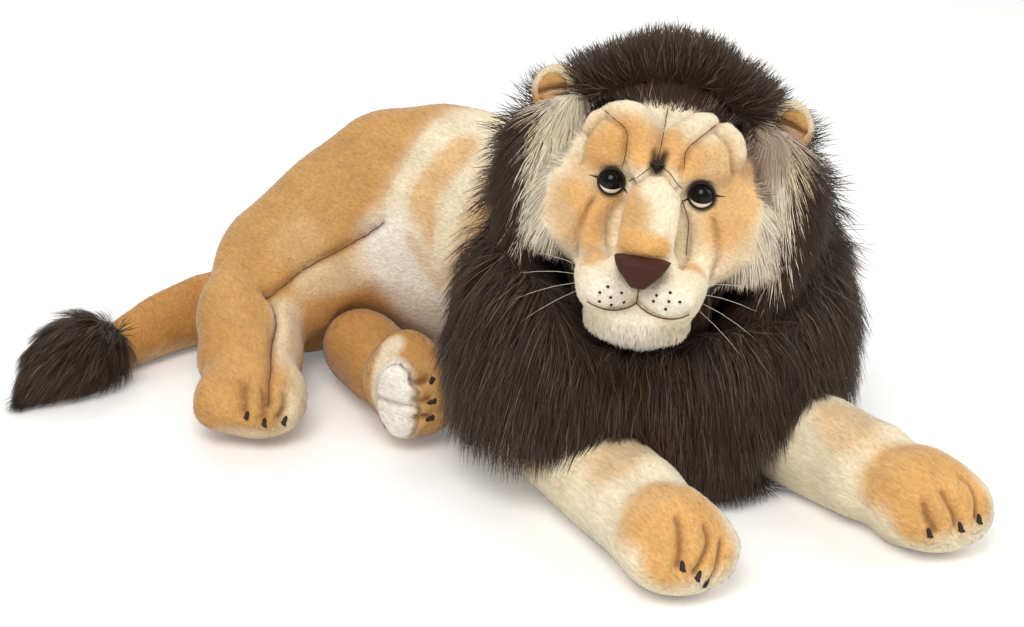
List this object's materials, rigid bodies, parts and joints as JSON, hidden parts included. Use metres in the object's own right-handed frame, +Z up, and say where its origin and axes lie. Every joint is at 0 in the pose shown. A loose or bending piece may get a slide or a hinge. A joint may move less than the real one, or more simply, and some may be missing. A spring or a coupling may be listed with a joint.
{
  "type": "plush lion",
  "caption": "Stuffed lion that lies with its head up and turned to its right, forelegs stretched ahead, hind legs to one side and a long dark mane; head, ears, limbs and tail turn a little.",
  "frame": {"origin": "middle of the belly panel's flat, on the floor", "axes": "+Z up, -Y towards the forepaws, +X towards the lion's own left"},
  "size_m": [0.6674, 0.8486, 0.4047],
  "materials": {
    "fibre_fill": "white polyester filling",
    "golden_plush": "short golden-tan pile",
    "cream_plush": "short cream pile",
    "white_plush": "short off-white pile",
    "mane_pile": "long dark brown pile",
    "ruff_pile": "long pale grey-cream pile",
    "nose_velour": "smooth dark burgundy velour",
    "eye_plastic": "glossy black dome",
    "washer_plastic": "plain moulded plastic",
    "thread": "dark brown sewing thread",
    "whisker_nylon": "thin white nylon"
  },
  "bodies": {
    "torso": {"torso_stuffing": "fibre_fill", "back_cover": "golden_plush", "belly_panel": "white_plush", "mane_chest": "mane_pile", "mane_nape": "mane_pile", "thigh_right": "golden_plush", "thigh_left": "golden_plush"},
    "neck": {"neck": "fibre_fill"},
    "head": {"head_stuffing": "fibre_fill", "head_cover": "cream_plush", "nose_bridge": "cream_plush", "chin": "white_plush", "muzzle_left": "white_plush", "muzzle_right": "white_plush", "brow_left": "cream_plush", "brow_right": "cream_plush", "cheek_left": "golden_plush", "cheek_right": "golden_plush", "cheek_ruff_left": "ruff_pile", "cheek_ruff_right": "ruff_pile", "nose_pad": "nose_velour", "mouth_stitch": "thread", "eye_left": "eye_plastic", "eye_right": "eye_plastic", "eye_rim_left": "nose_velour", "eye_rim_right": "nose_velour", "eye_washer_left": "washer_plastic", "eye_washer_right": "washer_plastic", "mane_crown": "mane_pile", "whisker_left_1": "whisker_nylon", "whisker_left_2": "whisker_nylon", "whisker_left_3": "whisker_nylon", "whisker_left_4": "whisker_nylon", "whisker_right_1": "whisker_nylon", "whisker_right_2": "whisker_nylon", "whisker_right_3": "whisker_nylon", "whisker_right_4": "whisker_nylon"},
    "ear_left": {"ear_left": "golden_plush", "ear_lining_left": "cream_plush"},
    "ear_right": {"ear_right": "golden_plush", "ear_lining_right": "cream_plush"},
    "foreleg_left": {"foreleg_left": "cream_plush", "forepaw_left": "cream_plush", "forepaw_sole_left": "golden_plush"},
    "foreleg_right": {"foreleg_right": "cream_plush", "forepaw_right": "cream_plush", "forepaw_sole_right": "golden_plush"},
    "hindleg_right": {"hindleg_right": "golden_plush", "hindpaw_right": "golden_plush", "hindpaw_sole_right": "cream_plush"},
    "hindleg_left": {"hindleg_left": "golden_plush", "hindpaw_left": "golden_plush", "hindpaw_sole_left": "white_plush"},
    "tail": {"tail": "golden_plush", "tail_tuft": "mane_pile"}
  },
  "joints": [
    {"name": "head_turn", "type": "hinge", "parent": "torso", "child": "neck", "pos_m": [0.006, -0.266, 0.27], "axis": [0, 0, 1], "range_deg": [-10, 10], "stiffness_Nm_per_rad": 3},
    {"name": "head_nod", "type": "hinge", "parent": "neck", "child": "head", "pos_m": [0.006, -0.266, 0.27], "axis": [0.7986, -0.6018, 0], "range_deg": [-4, 5], "stiffness_Nm_per_rad": 8},
    {"name": "ear_fold_left", "type": "hinge", "parent": "head", "child": "ear_left", "pos_m": [0.07416, -0.32685, 0.32387], "axis": [0.208, -0.3194, -0.9245], "range_deg": [-15, 20], "stiffness_Nm_per_rad": 0.06},
    {"name": "ear_fold_right", "type": "hinge", "parent": "head", "child": "ear_right", "pos_m": [-0.0573, -0.22422, 0.34415], "axis": [0.5267, -0.2541, 0.8112], "range_deg": [-15, 20], "stiffness_Nm_per_rad": 0.06},
    {"name": "foreleg_swing_left", "type": "hinge", "parent": "torso", "child": "foreleg_left", "pos_m": [0.08109, -0.22463, 0], "axis": [0, 0, 1], "range_deg": [-3, 8], "stiffness_Nm_per_rad": 1.5},
    {"name": "foreleg_swing_right", "type": "hinge", "parent": "torso", "child": "foreleg_right", "pos_m": [-0.08409, -0.18037, 0], "axis": [0, 0, 1], "range_deg": [-8, 3], "stiffness_Nm_per_rad": 1.5},
    {"name": "hindleg_swing_right", "type": "hinge", "parent": "torso", "child": "hindleg_right", "pos_m": [-0.224, 0.11, 0], "axis": [0, 0, 1], "range_deg": [-8, 8], "stiffness_Nm_per_rad": 1.2},
    {"name": "hindleg_swing_left", "type": "hinge", "parent": "torso", "child": "hindleg_left", "pos_m": [-0.144, 0.035, 0], "axis": [0, 0, 1], "range_deg": [-6, 3], "stiffness_Nm_per_rad": 1.2},
    {"name": "tail_swing", "type": "hinge", "parent": "torso", "child": "tail", "pos_m": [-0.144, 0.225, 0], "axis": [0, 0, 1], "range_deg": [-25, 8], "stiffness_Nm_per_rad": 0.6}
  ]
}
